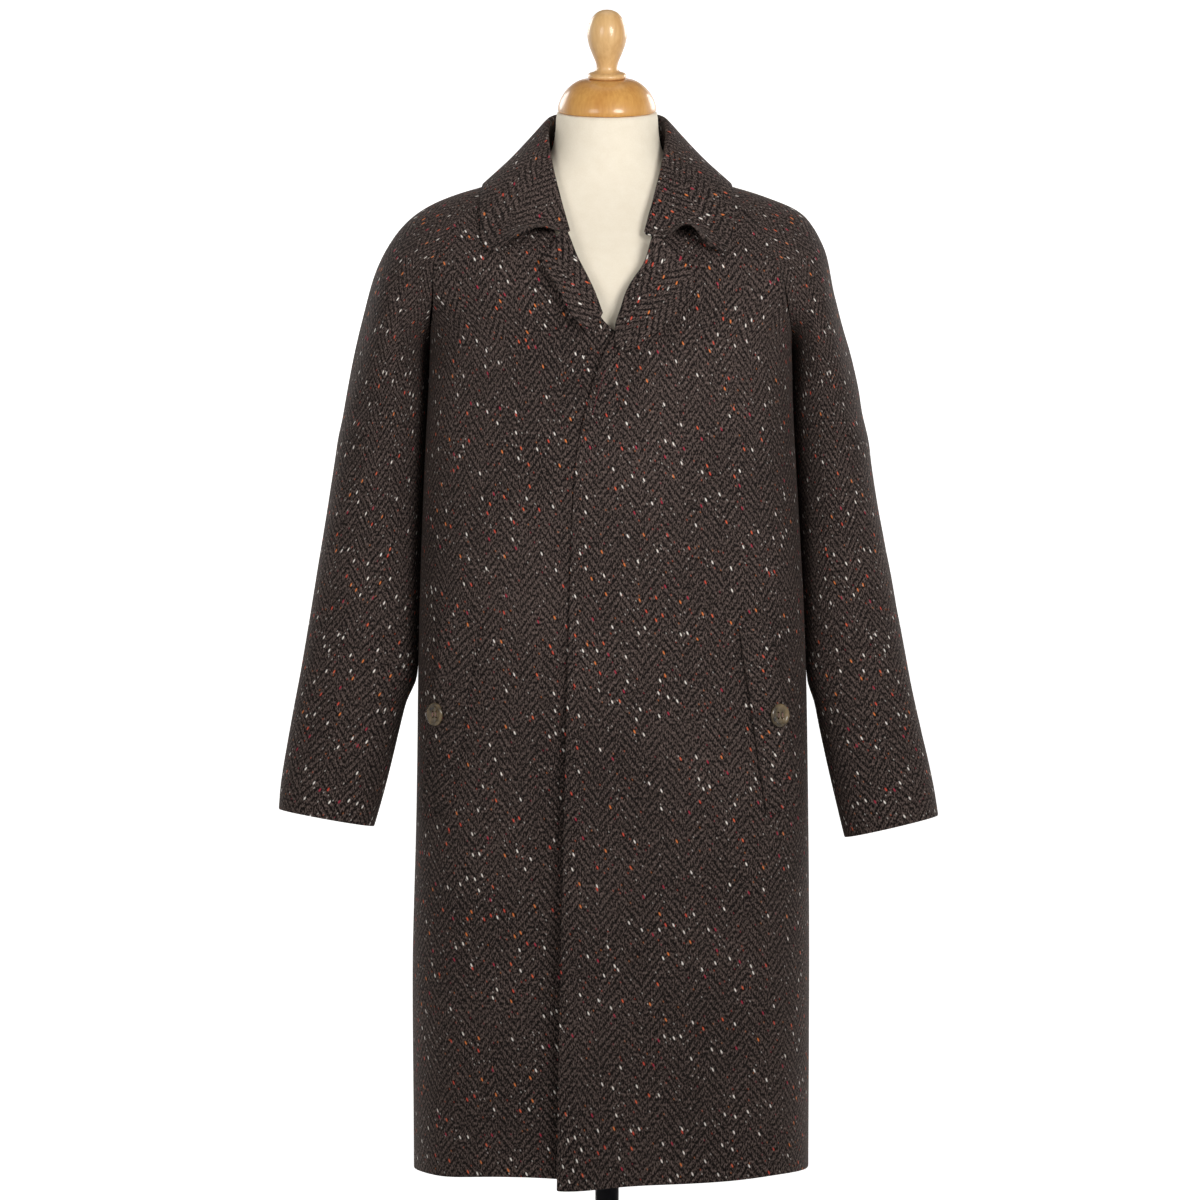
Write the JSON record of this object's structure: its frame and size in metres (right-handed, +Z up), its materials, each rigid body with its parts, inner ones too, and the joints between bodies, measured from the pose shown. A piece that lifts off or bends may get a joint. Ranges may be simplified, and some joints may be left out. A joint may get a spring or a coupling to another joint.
{
  "type": "wool overcoat on a dress form with a stand",
  "caption": "Knee-length raglan wool overcoat with a fly front, fall collar, short lapels and slanted welt pockets, worn by a limbless dress form on a pole and round base.",
  "frame": {"origin": "middle of the base's underside, on the floor", "axes": "+Z up, the coat's front faces -Y, the wearer's left is towards +X"},
  "size_m": [0.7218, 0.38, 1.6693],
  "materials": {
    "brown_tweed": "dark brown herringbone wool with coloured flecks, brushed",
    "dark_horn": "dark polished horn",
    "cream_cotton": "plain cream cotton stretched over padding",
    "varnished_beech": "turned and varnished",
    "painted_steel": "dark satin paint"
  },
  "bodies": {
    "root": {"front_left": "brown_tweed", "front_right": "brown_tweed", "back_left": "brown_tweed", "back_right": "brown_tweed", "sleeve_left_front": "brown_tweed", "sleeve_left_back": "brown_tweed", "sleeve_right_front": "brown_tweed", "sleeve_right_back": "brown_tweed", "collar": "brown_tweed", "lapel_left": "brown_tweed", "lapel_right": "brown_tweed", "pocket_welt_left": "brown_tweed", "pocket_welt_right": "brown_tweed", "pocket_button_left": "dark_horn", "pocket_button_right": "dark_horn", "form_torso": "cream_cotton", "form_cap": "varnished_beech", "form_finial": "varnished_beech", "stand_pole": "painted_steel", "stand_base": "painted_steel"}
  },
  "joints": []
}
